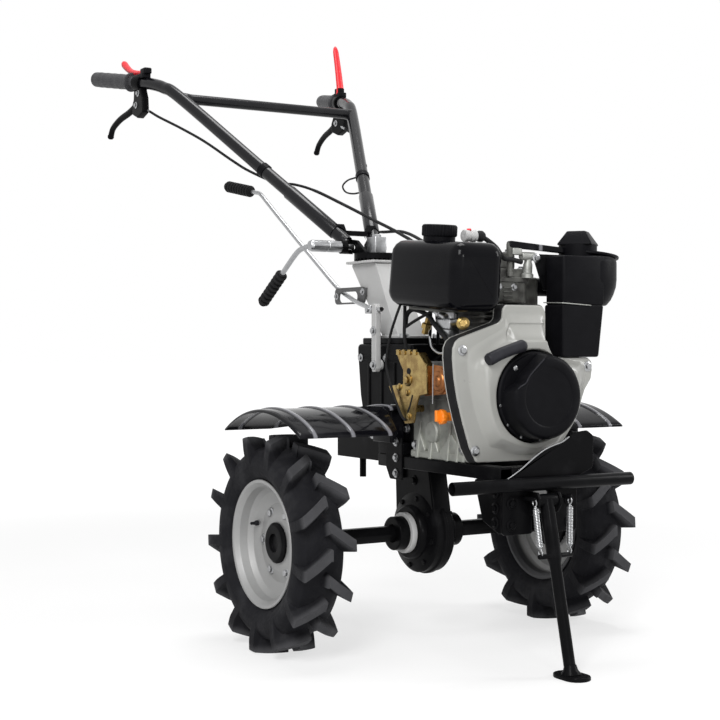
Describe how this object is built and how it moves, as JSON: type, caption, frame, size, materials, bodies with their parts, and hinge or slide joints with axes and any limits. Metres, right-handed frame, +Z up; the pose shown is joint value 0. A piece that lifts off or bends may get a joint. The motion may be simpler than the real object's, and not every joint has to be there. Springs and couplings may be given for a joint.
{
  "type": "walk-behind power tiller",
  "caption": "Walk-behind diesel power tiller with lugged drive wheels, fenders, recoil-start engine, tall swivelling handlebar with hand levers and a folding front stand.",
  "frame": {"origin": "middle of the part's box, on the ground", "axes": "+Z up, -Y towards the front of the machine, +X towards the operator's left"},
  "size_m": [0.871, 1.6852, 1.533],
  "materials": {
    "black_paint": "gloss",
    "silver_paint": "satin",
    "grey_paint": "satin",
    "housing_grey": "satin",
    "tank_black": "gloss",
    "bare_aluminium": "cast",
    "zinc": "plated",
    "gold_zinc": "yellow plated",
    "tyre_rubber": "matte",
    "soft_rubber": "matte",
    "black_plastic": "satin",
    "red_plastic": "gloss",
    "orange_plastic": "satin"
  },
  "bodies": {
    "chassis": {"gear_case": "black_paint", "gear_box": "black_paint", "axle_rings": "grey_paint", "handle_column": "grey_paint", "gear_lever": "zinc", "gear_knob": "soft_rubber", "shift_gate": "zinc", "crankcase": "bare_aluminium", "cylinder_head": "bare_aluminium", "fan_housing": "housing_grey", "fan_trim": "soft_rubber", "recoil_cover": "black_paint", "pull_handle": "black_plastic", "fuel_tank": "tank_black", "tank_cap": "black_plastic", "air_cleaner": "black_plastic", "muffler": "black_paint", "governor_plate": "gold_zinc", "dipstick": "orange_plastic", "frame_rails": "black_paint", "front_plate": "black_paint", "bumper_bar": "black_paint", "stand_bracket": "black_paint", "stand_springs": "zinc", "fender_right": "black_paint", "fender_left": "black_paint", "hitch": "black_paint"},
    "wheel_right": {"tyre_right": "tyre_rubber", "rim_right": "silver_paint", "axle_right": "black_paint"},
    "wheel_left": {"tyre_left": "tyre_rubber", "rim_left": "silver_paint", "axle_left": "black_paint"},
    "stand": {"stand_leg": "black_paint"},
    "swivel": {"swivel_disc": "black_paint", "clamp_lever": "zinc", "clamp_grip": "soft_rubber"},
    "handlebar": {"handle_base": "black_paint", "arm_right": "black_paint", "arm_left": "black_paint", "crossbar": "black_paint", "grips": "soft_rubber", "hand_levers": "black_plastic", "red_levers": "red_plastic", "cables": "soft_rubber"}
  },
  "joints": [
    {"name": "wheel_right_spin", "type": "hinge", "parent": "chassis", "child": "wheel_right", "pos_m": [-0.3745, -0.27261, 0.2325], "axis": [1, 0, 0], "continuous": true},
    {"name": "wheel_left_spin", "type": "hinge", "parent": "chassis", "child": "wheel_left", "pos_m": [0.3745, -0.27261, 0.2325], "axis": [1, 0, 0], "continuous": true},
    {"name": "stand_fold", "type": "hinge", "parent": "chassis", "child": "stand", "pos_m": [0, -0.71861, 0.345], "axis": [1, 0, 0], "range_deg": [0, 75], "deforming": ["stand_springs"]},
    {"name": "handlebar_swivel", "type": "hinge", "parent": "chassis", "child": "swivel", "pos_m": [0, -0.06861, 0.858], "axis": [0, 0, 1], "range_deg": [-25, 25], "deforming": ["cables"]},
    {"name": "handlebar_tilt", "type": "hinge", "parent": "swivel", "child": "handlebar", "pos_m": [0, -0.00061, 0.895], "axis": [1, 0, 0], "range_deg": [-12, 8], "deforming": ["cables"]}
  ]
}
